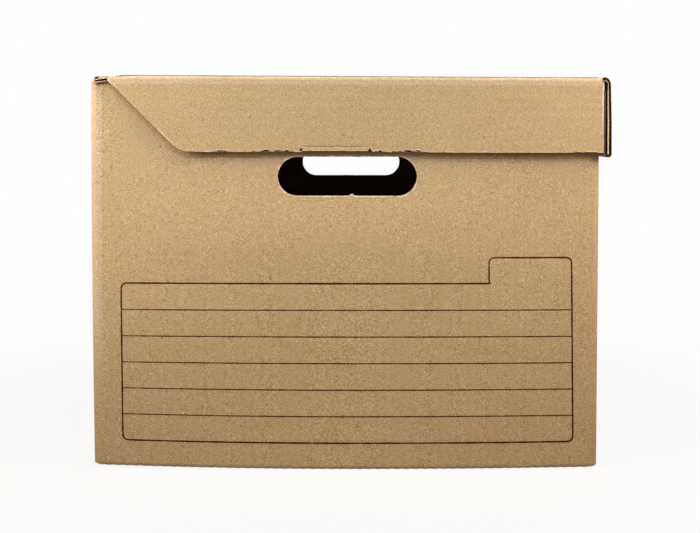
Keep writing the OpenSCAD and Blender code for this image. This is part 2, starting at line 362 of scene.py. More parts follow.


# %% [markdown]
# Six papers are enough. The liner is pressed smooth, and paler where a fold crushes it; part of that
# paleness is painted highlight. A cut rim and a torn edge show the light, loose inside of the paper.
# A dark paper is painted shade along the lid's rounded edge, and the fluted paper's deep brown is
# painted shade for the dark of its channels.

# %% The papers of the box
KRAFT = (0.556, 0.374, 0.205)
# Paler colour of crushed folds, partly painted highlight: it is as much paler than the liner as the lit
# hinge-side corner fold looks.
CRUSHED_AND_LIT = (0.63, 0.445, 0.29)
kraft_liner = paper("pressed_kraft", KRAFT, at_folds=CRUSHED_AND_LIT)
crushed_and_lit_kraft = paper("folded_kraft", CRUSHED_AND_LIT, mottle=0.35, flute_shade=0.04)
cut_paper = paper("cut_kraft", (0.72, 0.56, 0.38), mottle=0.9, fibre=0.7, flute_shade=0.0, specks=0.4)
# Pale paper of torn fibres, also used for a painted highlight on the fold into each corner tab.
fibre_and_highlight_paper = paper("fibre_and_highlight_kraft", (0.88, 0.73, 0.58), mottle=0.3, fibre=0.6, flute_shade=0.0, specks=0.3)
# Painted shade: a dark paper for the lid's rounded edge along the fold above each end flap.
fold_shade_paper = paper("painted_shade_kraft", (0.30, 0.225, 0.16), mottle=0.3, flute_shade=0.0, sheen=0.1)
# Painted shade: the fluted paper is nearly black-brown for the dark inside its channels; it also covers the
# liners' faces towards the flutes and some cut rims.
shaded_flute_paper = paper("fluted_paper_painted_shade", (0.12, 0.062, 0.028), mottle=0.6, fibre=0.5, flute_shade=0.0, sheen=0.05)
papers = (kraft_liner, crushed_and_lit_kraft, cut_paper, fibre_and_highlight_paper, fold_shade_paper, shaded_flute_paper)
print("papers:", [thing.name for thing in papers])

# %% [markdown]
# Water-based ink soaks into the liner. A flat black would look like tape, so its cover varies: the
# kraft shows through small voids, and the brown-black tone comes and goes along the line.

# %% Printing ink
INK_COLOUR, INK_THINNEST = (0.048, 0.012, 0.004, 1), 0.02
ink, tree = new_material("soaked_ink")
where = add(tree, "ShaderNodeTexCoord").outputs["Object"]
soak, press_mark = noise(tree, where, 900.0, 3.0)["Fac"], noise(tree, where, 45.0, 2.0)["Fac"]
thin = weighted_sum(tree, INK_THINNEST, [(soak, 0.5), (press_mark, 0.3)])
shader = add(tree, "ShaderNodeBsdfPrincipled", {
    "Base Color": blend(tree, thin, INK_COLOUR, (*KRAFT, 1)), "Roughness": 0.85,
    "Specular IOR Level": 0.08})
add(tree, "ShaderNodeOutputMaterial", {"Surface": shader.outputs[0]})
print("ink:", ink.name)

# %% [markdown]
# ## Folding
# Board is easiest to describe flat. Every panel could be placed and turned by hand, but then a
# changed size would open gaps at the folds. A path tells instead how a panel lies once it is
# folded: like a turtle it starts at a point with a heading, and takes straight runs and bends. A
# point of the flat board then needs three numbers: how far it lies along the path, where it lies on
# the axis that the path leaves free, and how deep it lies under the board's outer face.

# %% Fold paths
SHARPEST, SAME_RUN = 0.00005, 1e-9
XY_PLANE, XZ_PLANE, YZ_PLANE = (0, 1, 2), (0, 2, 1), (1, 2, 0)


class FoldPath:
    """Board in one plane, drawn along its outer face. A run is (length, 0) or (radius, degrees).

    axes holds the two axes of the plane and then the free one, and body is what the board rides on.
    """

    def __init__(self, start, heading, inside, runs, axes=XZ_PLANE, body="carton"):
        self.inside, self.axes, self.body = inside, axes, body
        self.legs, self.marks = [], [0.0]
        point, angle = np.array(start, float), math.radians(heading)
        for size, degrees in runs:
            turn = math.radians(degrees)
            self.legs.append((self.marks[-1], size, turn, point, angle))
            if turn:
                centre = point + size * self.inward(angle)
                angle += inside * turn
                point = centre - size * self.inward(angle)
            else:
                point = point + size * np.array([math.cos(angle), math.sin(angle)])
            self.marks.append(self.marks[-1] + (size * turn if turn else size))

    def inward(self, angle):
        """The direction into the board, square to a heading."""
        return self.inside * np.stack([-np.sin(angle), np.cos(angle)], axis=-1)

    def at(self, run, depth):
        """Points of the plane, given their runs along the path and their depths in the board."""
        spots = np.empty((len(run), 2))
        for begin, size, turn, point, angle in self.legs:
            on = run >= begin - SAME_RUN
            ahead, deep = (run[on] - begin)[:, None], depth[on][:, None]
            if turn:
                centre = point + size * self.inward(angle)
                now = angle + self.inside * np.minimum(ahead[:, 0] / size, turn)
                spots[on] = centre - self.inward(now) * np.maximum(size - deep, SHARPEST)
            else:
                forward = np.array([math.cos(angle), math.sin(angle)])
                spots[on] = point + ahead * forward + deep * self.inward(angle)
        return spots


quarter = FoldPath((0.0, 0.0), 0, 1, [(CORNER_R, 90)])
print("a corner of the box takes up, in mm:", mm(quarter.marks[-1]))

# %% [markdown]
# ## Filling an outline
# A flat outline could be filled with one big face, but board has to bend at its folds and to rise
# and sink over its flutes. So the outline is filled with narrow columns that run along the flutes.
# Every corner of the outline starts a column of its own, which keeps slants, tabs and round hand
# holes exact. The sides of neighbouring columns don't have the same points, so their faces are
# closed like a zip, always from the lower of the next two points, which leaves no cracks.

# %% One column, and the zip between two
SAME = 1e-7


def spans_between(edges, left, right):
    """The stretches of a column that lie inside: (low left, high left, low right, high right)."""
    middle = (left + right) / 2
    crossings = []
    for (u0, v0), (u1, v1) in edges:
        if min(u0, u1) < middle < max(u0, u1):
            slope = (v1 - v0) / (u1 - u0)
            crossings.append((v0 + slope * (middle - u0), v0 + slope * (left - u0),
                              v0 + slope * (right - u0)))
    crossings.sort()
    pairs = zip(crossings[0::2], crossings[1::2])
    return [(low[1], high[1], low[2], high[2]) for low, high in pairs]


def zipped(left, right):
    """Faces between two rising chains of (height, index)."""
    faces, i, j = [], 0, 0
    while i < len(left) - 1 or j < len(right) - 1:
        up_left = left[i + 1][0] if i < len(left) - 1 else math.inf
        up_right = right[j + 1][0] if j < len(right) - 1 else math.inf
        if abs(up_left - up_right) < SAME:
            faces.append((left[i][1], right[j][1], right[j + 1][1], left[i + 1][1]))
            i, j = i + 1, j + 1
        elif up_left < up_right:
            faces.append((left[i][1], right[j][1], left[i + 1][1]))
            i += 1
        else:
            faces.append((left[i][1], right[j][1], right[j + 1][1]))
            j += 1
    return faces


print("faces between 2 and 3 points:", zipped([(0, 0), (1, 1)], [(0, 2), (0.5, 3), (1, 4)]))

# %% [markdown]
# Filling goes from left to right: find the columns, then the stretches of each that lie inside, then
# the points on every side, with a row wherever the board has to bend, and at last the faces.

# %% Columns in an outline
ROWS_APART, COLUMNS_APART = 2e-4, 0.3


def fill_outline(loops, across_step, rows_at):
    """Fills closed loops of (across, along) points, holes included: (points, faces)."""
    loops = [[(round(u, 6), round(v, 6)) for u, v in loop] for loop in loops]
    edges = [pair for loop in loops for pair in zip(loop, loop[1:] + loop[:1])]
    columns = sorted({u for loop in loops for u, _ in loop})
    low, high = columns[0], columns[-1]
    steps = np.linspace(low, high, max(2, round((high - low) / across_step) + 1))
    given = np.array(columns)
    columns += [u for u in steps if np.abs(given - u).min() > COLUMNS_APART * across_step]
    columns.sort()
    spans = [spans_between(edges, a, b) for a, b in zip(columns, columns[1:])]
    points, chains = [], []
    for u, before, after in zip(columns, [[]] + spans, spans + [[]]):
        ends = sorted([v for span in before for v in span[2:]] + [v for span in after for v in span[:2]])
        knots = [v for i, v in enumerate(ends) if i == 0 or v - ends[i - 1] > SAME]
        marks = np.array(knots)
        knots += [v for v in rows_at(u) if marks[0] < v < marks[-1] and np.abs(marks - v).min() > ROWS_APART]
        chains.append([(v, len(points) + i) for i, v in enumerate(sorted(knots))])
        points += [(u, v) for v, _ in chains[-1]]
    faces = []
    for column, left_chain, right_chain in zip(spans, chains, chains[1:]):
        for low_left, high_left, low_right, high_right in column:
            left = [k for k in left_chain if low_left - 2 * SAME < k[0] < high_left + 2 * SAME]
            right = [k for k in right_chain if low_right - 2 * SAME < k[0] < high_right + 2 * SAME]
            faces += zipped(left, right)
    used = sorted({i for face in faces for i in face})
    place_of = {old: new for new, old in enumerate(used)}
    return np.array([points[i] for i in used]), [tuple(place_of[i] for i in face) for face in faces]


def rectangle(run0, run1, free0, free1):
    """A loop with four corners."""
    return [(run0, free0), (run1, free0), (run1, free1), (run0, free1)]


square = fill_outline([rectangle(0.0, 0.1, 0.0, 0.1)], 0.01, lambda across: [0.05])
print("a square in ten columns and two rows has", len(square[1]), "faces")

# %% [markdown]
# ## One sheet of paper
# A liner is a sheet with two faces and a cut rim. The rim is a part of its own, because a cut
# shows the inside of the paper, which is paler than its pressed surface. Between the tips of the
# flutes nothing holds a liner up, so it sinks there by a few hundredths of a millimetre. That
# gives real board its faint washboard stripes. A bump in the material could fake them, but real
# geometry also shows them at the board's edges.

# %% Sheets
def wave(across, pitch):
    """1 where a flute's tip touches the outer liner, and 0 where it touches the inner one."""
    return 0.5 + 0.5 * np.cos(2 * math.pi * across / pitch)


def rims_of(faces):
    """The edges that only one face uses, in that face's direction."""
    used = {}
    for face in faces:
        for a, b in zip(face, face[1:] + face[:1]):
            if used.pop((b, a), None) is None:
                used[(a, b)] = True
    return list(used)


def sheet_arrays(points, faces, lay, outer, inner, kinds=(0, 0, 1)):
    """A closed sheet between two depths: (positions, faces, the kind of each face)."""
    count = len(points)
    places = np.vstack([lay(points, outer), lay(points, inner)])
    back = [tuple(i + count for i in reversed(face)) for face in faces]
    rims = [(b, a, a + count, b + count) for a, b in rims_of(faces)]
    of_faces = np.repeat(kinds, (len(faces), len(back), len(rims)))
    return places, faces + back + rims, of_faces.tolist()


print("rim of that square:", len(rims_of(square[1])), "edges")

# %% [markdown]
# Blender needs each face turned outwards and its sharp edges marked. The papers also want to know
# where a vertex lay on the blank, and an attribute can carry that along through every bend.

# %% Meshes and what they remember
SHARP_ANGLE = math.radians(35)


def finish_mesh(mesh):
    """Turns every face outwards and smooths all but the sharp edges."""
    work = bmesh.new()
    work.from_mesh(mesh)
    bmesh.ops.recalc_face_normals(work, faces=work.faces)
    work.to_mesh(mesh)
    work.free()
    mesh.shade_smooth()
    mesh.set_sharp_from_angle(angle=SHARP_ANGLE)


def paper_mesh(name, places, faces, kinds, *materials):
    """A finished mesh; kinds holds the number of each face's material."""
    mesh = new_mesh(name, places, faces, *materials)
    mesh.polygons.foreach_set("material_index", kinds)
    finish_mesh(mesh)
    return mesh


def store(mesh, name, values):
    """Keeps a number or a vector of each vertex as a named attribute."""
    kind, key = ("FLOAT_VECTOR", "vector") if values.ndim == 2 else ("FLOAT", "value")
    layer = mesh.attributes.new(name, kind, "POINT")
    layer.data.foreach_set(key, values.astype(np.float32).ravel())


def keep_flat_place(mesh, points, tips, from_fold, layers):
    """Stores where each vertex lay on the blank, how near a flute's tip, and how far from a fold."""
    flat = np.column_stack([points, np.zeros(len(points))])
    for name, values in (("blank", flat), ("tip", tips), ("from_fold", from_fold)):
        store(mesh, name, np.concatenate([values] * layers))


print("edges stay sharp from, in degrees:", round(math.degrees(SHARP_ANGLE)))

# %% [markdown]
# ## The flutes
# Between the liners runs the fluted paper, pressed into waves by a pair of hot rolls. An array of
# modelled waves would have to be trimmed at every slant. The shape is a rule, so Geometry Nodes
# press it: the flat sheet brings two attributes along, how far each point lies across the flutes
# and which way is out, and the tree lifts it by a cosine and then gives it the thickness of the
# paper. The same tree serves every panel and every fold.

# %% Geometry Nodes: press the flutes
SAME_POINT = 1e-6


def new_tree(name, inputs):
    """An empty Geometry Nodes tree with named inputs: (tree, input node, output node)."""
    made = bpy.data.node_groups.new(name, "GeometryNodeTree")
    made.interface.new_socket("Geometry", in_out="INPUT", socket_type="NodeSocketGeometry")
    for label, kind in inputs:
        made.interface.new_socket(label, in_out="INPUT", socket_type=kind)
    made.interface.new_socket("Geometry", in_out="OUTPUT", socket_type="NodeSocketGeometry")
    return made, made.nodes.new("NodeGroupInput"), made.nodes.new("NodeGroupOutput")


def close_tree(tree, given, result, geometry):
    """Ends a tree in Realize Instances and Set Material."""
    real = add(tree, "GeometryNodeRealizeInstances", {"Geometry": geometry})
    dressed = add(tree, "GeometryNodeSetMaterial", {"Geometry": real.outputs[0],
                                                    "Material": given.outputs["Material"]})
    tree.links.new(dressed.outputs[0], result.inputs["Geometry"])


press, given, result = new_tree("press_flutes", [
    ("Pitch", "NodeSocketFloat"), ("Height", "NodeSocketFloat"), ("Paper", "NodeSocketFloat"),
    ("Material", "NodeSocketMaterial")])
across = add(press, "GeometryNodeInputNamedAttribute", {"Name": "across"}, data_type="FLOAT")
rise = add(press, "GeometryNodeInputNamedAttribute", {"Name": "rise"}, data_type="FLOAT_VECTOR").outputs[0]
thickness = given.outputs["Paper"]
turns = calc(press, "DIVIDE", across.outputs[0], given.outputs["Pitch"])
cosine = calc(press, "COSINE", calc(press, "MULTIPLY", turns, 2 * math.pi))
swing = calc(press, "MULTIPLY", cosine, calc(press, "SUBTRACT", given.outputs["Height"], thickness))
half = calc(press, "MULTIPLY", calc(press, "SUBTRACT", swing, thickness), 0.5)
lift = add(press, "ShaderNodeVectorMath", {0: rise, "Scale": half}, operation="SCALE")
pressed = add(press, "GeometryNodeSetPosition", {"Geometry": given.outputs["Geometry"],
                                                 "Offset": lift.outputs[0]}).outputs[0]
thick = add(press, "GeometryNodeExtrudeMesh", {"Mesh": pressed, "Offset": rise, "Offset Scale": thickness,
                                               "Individual": False}, mode="FACES")
under = add(press, "GeometryNodeFlipFaces", {"Mesh": pressed})
both = add(press, "GeometryNodeJoinGeometry")
press.links.new(thick.outputs["Mesh"], both.inputs[0])
press.links.new(under.outputs[0], both.inputs[0])
closed = add(press, "GeometryNodeMergeByDistance", {"Geometry": both.outputs[0], "Distance": SAME_POINT})
close_tree(press, given, result, closed.outputs[0])
print("tree:", press.name, "with", len(press.nodes), "nodes")

# %% [markdown]
# A tree usually stays on its object as a modifier. Here its result has to settle together with the
# liners afterwards, so the tree runs once on a holder object, and the outcome is kept as a mesh.

# %% Running a tree
def run_tree(tree, mesh, **inputs):
    """Runs a tree once on a mesh, and gives the result as a plain mesh."""
    holder = show("holder", mesh)
    modifier = holder.modifiers.new("nodes", "NODES")
    modifier.node_group = tree
    for item in tree.interface.items_tree:
        if item.in_out == "INPUT" and item.name in inputs:
            modifier[item.identifier] = inputs[item.name]
    evaluated = holder.evaluated_get(bpy.context.evaluated_depsgraph_get())
    made = bpy.data.meshes.new_from_object(evaluated)
    holder.modifiers.clear()
    bpy.data.objects.remove(holder)
    return made


# %% [markdown]
# ## How the box has settled
# A box of board is never quite square. The ends of this one bulge, its bottom corners sit slightly
# higher than its middle, and its lid sinks towards the heavy double flap. These are smooth shifts
# of less than 3 mm. Bending each panel by hand would part it from its neighbours, so one shift
# applies to all pieces of a body at once. The bulge stays behind the lid's end flaps, so the box
# stays within its own size.

# %% Settling: the shared part
LID_DROP = 0.0019
KNOCK, KNOCK_X, KNOCK_Y = 0.0012, X_SKIRT + 0.006, -0.9 * Y_END
KNOCK_SOFT_X, KNOCK_SOFT_Y, KNOCK_LOW, KNOCK_SOFT_Z = 0.007, 0.020, 0.030, 0.025


def smooth(share):
    """Rises smoothly from 0 to 1 as share does."""
    share = np.clip(share, 0, 1)
    return share * share * (3 - 2 * share)


def drop_at(x):
    """How far the top of the box sinks, which grows towards the opening side."""
    return LID_DROP * np.clip((x - X_HINGE) / (X_FRONT - X_HINGE), 0, 1)


def knock(x, y, z):
    """How far the front corner at the hinge is knocked down."""
    share = smooth((KNOCK_X - x) / KNOCK_SOFT_X) * smooth((KNOCK_Y - y) / KNOCK_SOFT_Y)
    return KNOCK * share * smooth((z - Z_TOP + KNOCK_LOW) / KNOCK_SOFT_Z)


print("the lid sinks by up to, in mm:", mm(drop_at(X_FRONT)))

# %% [markdown]
# The carton bulges in the middle of its ends, less towards the corners and not under the lid's
# flaps. The lid sags, and its double flap leans in. At the knocked corner its top arches a little.

# %% Settling: the carton and the lid
FOOT_LIFT_HINGE, FOOT_LIFT_OPEN, FOOT_HEIGHT = 0.0020, 0.0008, 0.12
HEAD_START, HEAD_SINK = Z_WALL - 0.050, 0.0016 / Y_END
BULGE, BULGE_END, BULGE_FULL = 0.0024 / Y_END, Z_WALL - 0.058, Z_WALL - 0.110
SIDE_BOW = 0.0006
ARCH_X, ARCH_HALF, ARCH_SOFT, ARCH_DROP, ARCH_SQUEEZE = X_SKIRT - 0.0005, 0.0035, 0.003, 0.0012, 0.0010
ARCH_LIMITS = (-0.002, 0.001)
TAB_PINCH, ROLL_PINCH, ROLL_LOW, ROLL_SOFT = 0.0006, 0.0009, 0.040, 0.036
LID_TUCK, HEM_SHARE, TOP_SHEET = 0.0009, 0.45, Z_TOP - 1.5 * BOARD


def settle_carton(places):
    """The carton's feet are lifted, its ends bulge, and its head sinks with the lid."""
    x, y, z = places.T
    side = (x - X_MIDDLE) / (X_OPEN - X_MIDDLE)
    foot = np.where(side < 0, FOOT_LIFT_HINGE, FOOT_LIFT_OPEN) * side**2
    bow = SIDE_BOW * (2 * z / Z_TOP - 1) ** 2 * np.clip(-side, 0, 1)
    new_z = z + foot * (1 - smooth(z / FOOT_HEIGHT))
    new_z -= drop_at(x) * smooth((z - HEAD_START) / (Z_WALL - HEAD_START))
    bulge = BULGE * (1 - side**2) * smooth((z - BULGE_END) / (BULGE_FULL - BULGE_END))
    bulge -= HEAD_SINK * np.clip(1 - side**2, 0, 1) * smooth((z - BULGE_FULL) / (BULGE_END - BULGE_FULL))
    return np.stack([x + bow, y * (1 + bulge - BULGE * side**2), new_z - knock(x, y, z)], axis=1)


def settle_lid(places):
    """The lid sags, leans in at the double flap, and arches at its knocked corner."""
    x, y, z = places.T
    height = np.clip((z - Z_SKIRT) / (Z_TOP - Z_SKIRT), 0, 1)
    ply = smooth((x - X_TAB - BOARD) / (X_FRONT - X_TAB - BOARD))
    pinch = TAB_PINCH * smooth((x - X_TAB) / BOARD)
    pinch += ply * ROLL_PINCH * smooth((z - Z_TOP + ROLL_LOW) / ROLL_SOFT)
    corner = smooth((KNOCK_X - x) / ARCH_SOFT) * smooth((KNOCK_Y - y) / KNOCK_SOFT_Y) * (z > TOP_SHEET)
    depth = np.clip((Z_TOP - z) / BOARD, 0, 1)
    arch = corner * (ARCH_SQUEEZE * depth - ARCH_DROP * ((x - ARCH_X) / ARCH_HALF) ** 2)
    sag = drop_at(x) * (HEM_SHARE + (1 - HEM_SHARE) * height)
    new_z = z - sag - knock(x, y, z) + np.clip(arch, *ARCH_LIMITS)
    return np.stack([x - pinch, y * (1 - LID_TUCK), new_z], axis=1)


SETTLE = {"carton": settle_carton, "lid": settle_lid}
middle_top = np.array([[X_MIDDLE, 0.0, Z_TOP]])
print("the middle of the lid moves by, in mm:", mm(*(settle_lid(middle_top) - middle_top)[0]))

# %% [markdown]
# ## A panel of board
# One function now makes any panel: it fills the outline, lays the two liners at their depths along
# the path, presses the flutes between them, lets everything settle, and hangs the pieces on their
# body. Each panel could be modelled on its own, but all of them are the same board. Flutes run
# either along the free axis, as in the walls, or along the path, as where the board rolls over the
# lid's edge. First come the rows that cut its columns, and the places of its flat points.

# %% Rows, and places on a path
ROW, BEND_STEP = 0.020, 7.5


def path_rows(path):
    """Rows along a path: far apart on the straights, and every few degrees in the bends."""
    rows = []
    for (begin, size, turn, _, _), end in zip(path.legs, path.marks[1:]):
        count = math.degrees(turn) / BEND_STEP if turn else (end - begin) / ROW
        rows += list(np.linspace(begin, end, max(2, round(count) + 1)))
    return rows


def distance_to_folds(path, run):
    """How far each run along a path lies from the middle of the nearest fold."""
    folds = [begin + size * turn / 2 for begin, size, turn, _, _ in path.legs if turn]
    return np.min([np.abs(run - fold) for fold in folds], axis=0)


def free_rows(loops):
    """Rows along the free axis, from end to end of an outline."""
    ends = [point[1] for loop in loops for point in loop]
    return list(np.arange(math.ceil(min(ends) / ROW), max(ends) / ROW) * ROW)


def place_on(path, run, free, depth):
    """Places of flat points: run along the path, free on the third axis, depth in the board."""
    places = np.empty((len(run), 3))
    places[:, list(path.axes[:2])] = path.at(run, np.broadcast_to(depth, run.shape))
    places[:, path.axes[2]] = free
    return places


def settle_mesh(mesh, body):
    """Moves a mesh as its body has settled."""
    places = np.empty(3 * len(mesh.vertices), np.float32)
    mesh.vertices.foreach_get("co", places)
    places = SETTLE[body](places.reshape(-1, 3).astype(float))
    mesh.vertices.foreach_set("co", places.astype(np.float32).ravel())


def show_piece(name, mesh, body, replaced=None):
    """Makes a mesh a piece of the object, which moves with a body."""
    piece = show(name, mesh)
    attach(piece, body)
    if replaced:
        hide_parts(replaced)


print("rows in a corner of the box:", len(path_rows(quarter)))

# %% [markdown]
# The two liners are one mesh with four layers of points. The fluted paper starts as a flat sheet
# halfway between them, and the tree from above presses it.

# %% Liners and flutes
WASHBOARD = 0.00003


def liner_pair(points, faces, lay, sink, tips, frayed, shaded_rim):
    """Two liners, each between two depths: (positions, faces, the kind of each face)."""
    under = BOARD - LINER - WASHBOARD * tips
    # A shaded rim paints the outer liner's cut rim with the dark fluted paper: painted shade.
    outer, outer_faces, outer_kinds = sheet_arrays(
        frayed(points, "outer"), faces, lay, sink, sink + LINER, (0, 2, 2 if shaded_rim else 1))
    inner, inner_faces, inner_kinds = sheet_arrays(
        frayed(points, "inner"), faces, lay, under, under + LINER, (2, 0, 1))
    inner_faces = [tuple(i + len(outer) for i in face) for face in inner_faces]
    return np.vstack([outer, inner]), outer_faces + inner_faces, outer_kinds + inner_kinds


def flute_sheet(across, cut, faces, lay, pitch):
    """The fluted paper between the liners; across is how far each point lies across the flutes."""
    middle = np.full(len(cut), BOARD / 2)
    flat = new_mesh("flat", lay(cut, middle), faces)
    up = lay(cut, middle - LINER) - lay(cut, middle + LINER)
    store(flat, "across", across)
    store(flat, "rise", up / np.linalg.norm(up, axis=1)[:, None])
    return run_tree(press, flat, Pitch=pitch, Height=BOARD - 2 * (LINER + WASHBOARD),
                    Paper=FLUTE_PAPER, Material=shaded_flute_paper)


print("room for the flutes in mm:", mm(BOARD - 2 * (LINER + WASHBOARD)))

# %% [markdown]
# Where the press has crushed a fold, the outer liner is dented between the tips of the flutes, and
# its colour is paler, which is partly the crushed paper and partly painted highlight. Both could be
# painted by hand along every fold, but the path already knows how far each point lies from one.

# %% A panel of board
COLUMNS_A_FLUTE, FINER_FLUTES = 8, 2
FOLD_DENT, DENT_REACH, CRUSHED = 0.0004, 0.0040, 0.0052


def board(node, path, loops, along_path=False, pitch=PITCH, tip_at=0.0, face=kraft_liner,
          columns=COLUMNS_A_FLUTE, rows=None, fray=None, pressed=None, flute_loops=None,
          crushed=CRUSHED, shaded_rim=False, no_pale_crease=None):
    """Liners and flutes for one node. Loops hold (run along the path, place on the free axis).

    flute_loops is an outline for the flutes, where they stay back from a cut end. crushed is how far
    from a fold the paper is pale. Three arguments are functions of the flat points: fray moves a
    layer's cut edge, pressed says how deep the outer liner is pressed in, and the third where the pale
    crease is left off, which is partly painted light. A shaded rim gives the outer liner's cut rim the
    dark fluted paper: painted shade.
    """
    flute_loops = flute_loops or loops
    if along_path:
        loops, flute_loops = ([[point[::-1] for point in loop] for loop in each]
                              for each in (loops, flute_loops))
    plain = path_rows(path) if along_path else free_rows(loops)
    rows = rows or (lambda across: plain)
    run_axis, free_axis = (1, 0) if along_path else (0, 1)

    def lay(points, depth):
        return place_on(path, points[:, run_axis], points[:, free_axis], depth)

    def frayed(points, layer):
        return fray(points, layer) if fray else points

    points, faces = fill_outline(loops, pitch / columns, rows)
    tips = wave(points[:, 0] - tip_at, pitch)
    from_fold = distance_to_folds(path, points[:, run_axis])
    sink = WASHBOARD * (1 - tips)
    if along_path:
        sink += FOLD_DENT * np.clip(1 - from_fold / DENT_REACH, 0, 1) * (1 - tips)
    if pressed:
        sink += pressed(points)
    marked = from_fold / crushed
    if no_pale_crease:
        marked = np.maximum(marked, CREASE_FULL + (1 - CREASE_FULL) * no_pale_crease(points))
    places, all_faces, kinds = liner_pair(points, faces, lay, sink, tips, frayed, shaded_rim)
    liners = paper_mesh(node + "_liners", SETTLE[path.body](places), all_faces, kinds,
                        face, cut_paper, shaded_flute_paper)
    keep_flat_place(liners, points, tips, marked, 4)
    show_piece(node + "_liners", liners, path.body, node)

    points, faces = fill_outline(flute_loops, pitch / (columns + FINER_FLUTES), rows)
    fluted = flute_sheet(points[:, 0] - tip_at, frayed(points, "flutes"), faces, lay, pitch)
    settle_mesh(fluted, path.body)
    finish_mesh(fluted)
    show_piece(node + "_flutes", fluted, path.body)
    print(node, "has", len(all_faces), "faces in its liners and", len(fluted.polygons), "in its flutes")


# %% [markdown]
# ## Torn fibres
# Where a blade or a tear goes through a liner, the paper's pale inside shows as a hair-thin ragged
# line. It could be a part of the liner's rim, but the rim is far too thin to be seen from the
# front. So a narrow ribbon of pale fibres lies along the edge, and its width varies at random.

# %% Torn fibres
# The same ribbon also lies over the fold into each corner tab, as a painted highlight there.
FIBRE_STEP, FIBRE_LIFT = 0.0006, 0.00005
FIBRE_TUFTS, FIBRE_SWELLS, SWELL, THINNEST = 0.0014, 0.012, 0.4, 0.02
RANDOM_HEIGHTS, RIPPLE_SHIFT = 2048, 1000.0


def ripple(x, seed, step):
    """Random heights from 0 to 1 every step along x, joined by straight lines."""
    heights = np.random.default_rng(seed).random(RANDOM_HEIGHTS)
    return np.interp(np.asarray(x) / step + RIPPLE_SHIFT, np.arange(RANDOM_HEIGHTS), heights)


def resample(line, step):
    """Points every step along a line, and how far along it they lie."""
    line = np.array(line, float)
    run = np.concatenate([[0], np.cumsum(np.linalg.norm(np.diff(line, axis=0), axis=1))])
    even = np.linspace(0, run[-1], max(2, round(run[-1] / step)))
    return np.stack([np.interp(even, run, line[:, axis]) for axis in (0, 1)], axis=1), even


def strip_between(one_side, other_side):
    """The corners and faces of a ribbon, given both of its edges."""
    corners = np.stack([one_side, other_side], axis=1).reshape(-1, one_side.shape[1])
    return corners, [(2 * i, 2 * i + 1, 2 * i + 3, 2 * i + 2) for i in range(len(one_side) - 1)]


def fibre_and_highlight_ribbon(name, path, line, width, depth=0.0, seed=0, bare=0.0, fray=None, layer="outer"):
    """A pale ribbon along the left of a line of (run, free) points: torn fibres at cuts, and a painted
    highlight on a fold.

    bare is the share of the line without any; below 0 it makes the ribbon nearly even.
    """
    even, run = resample(line, FIBRE_STEP)
    ahead = np.gradient(even, axis=0)
    ahead /= np.linalg.norm(ahead, axis=1)[:, None]
    left = np.stack([-ahead[:, 1], ahead[:, 0]], axis=1)
    edge = fray(even, layer) if fray else even
    reach = width * np.clip((ripple(run, seed, FIBRE_TUFTS) - bare) / (1 - bare), THINNEST, 1)
    reach *= 1 - SWELL + 2 * SWELL * ripple(run, seed + 7, FIBRE_SWELLS)
    flat, faces = strip_between(edge, edge + left * reach[:, None])
    places = SETTLE[path.body](place_on(path, flat[:, 0], flat[:, 1], depth - FIBRE_LIFT))
    show_piece(name, new_mesh(name, places, faces, fibre_and_highlight_paper), path.body)
    print(name, "in mm:", mm(run[-1]))


# %% [markdown]
# ## The sleeve
# Four walls and the glue tab are one strip of the blank. Four separate plates would be easy, but
# their flutes wouldn't meet at the corners. The strip's path starts at the free edge of the tab,
# inside the opening side, and goes round the back, the hinge side and the front end, to the raw
# edge at the back of the opening side. Counting the flutes from that edge leaves one of them
# standing open there, as on the real box.

# %% The sleeve's path
def length(node, axis):
    """How long a node's box is along an axis."""
    low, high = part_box(node)
    return high[axis] - low[axis]


GLUE_W = Y_END - CORNER_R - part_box("glue_tab")[0].y
sleeve = FoldPath((X_OPEN - BOARD, Y_END - CORNER_R - GLUE_W), 90, 1, [
    (GLUE_W, 0), (CORNER_R, 90),
    (length("back_end_panel", 0), 0), (CORNER_R, 90),
    (length("hinge_side_wall", 1), 0), (CORNER_R, 90),
    (length("front_end_panel", 0), 0), (CORNER_R, 90),
    (Y_RAW_EDGE + Y_END - CORNER_R, 0),
], XY_PLANE)
sleeve_end = sleeve.marks[-1]
print("folds of the sleeve in mm:", mm(*sleeve.marks))

# %% [markdown]
# The upright creases were pressed before the box was folded. Their paleness is partly painted light:
# it is left off at the opening's front corner, which lies in shade, and fades out towards the bottom.

# %% Walls
CRUSHED_UPRIGHT, PALE_CREASE_FROM = 0.0070, 0.13
NO_PALE_REACH = 3 * CORNER_R + CRUSHED_UPRIGHT


def no_pale_crease_at(points):
    """Where the pale crease is left off: 0 where it shows, and 1 at the opening's shaded front corner and at
    the bottom.
    """
    run, z = points.T
    by_opening = np.abs(run - (sleeve.marks[7] + sleeve.marks[8]) / 2) < NO_PALE_REACH
    return np.maximum(by_opening, 1 - smooth(z / PALE_CREASE_FROM))


def stretch(leg, low_z, high_z):
    """The outline of one leg of the sleeve between two heights."""
    return rectangle(sleeve.marks[leg], sleeve.marks[leg + 1], low_z, high_z)


def wall(node, *loops):
    """A part of the sleeve with its flat outlines."""
    board(node, sleeve, loops, tip_at=sleeve_end, crushed=CRUSHED_UPRIGHT, no_pale_crease=no_pale_crease_at)


print("creases show from, in mm:", mm(PALE_CREASE_FROM))

# %% [markdown]
# The hand holes are obrounds. A boolean would cut the thin liners badly, so the hole is a second
# loop of the outline. Its place and size are those of the opening that the frame cuts in each end
# panel, and a half circle at each end needs only a formula.

# %% Hand holes
ARC_STEPS, HOLE_CLEAR = 18, 3 * CORNER_R
CUT_STEP, CUT_RAGGED, TUFT_HALF = 0.0012, 0.00035, 0.00144


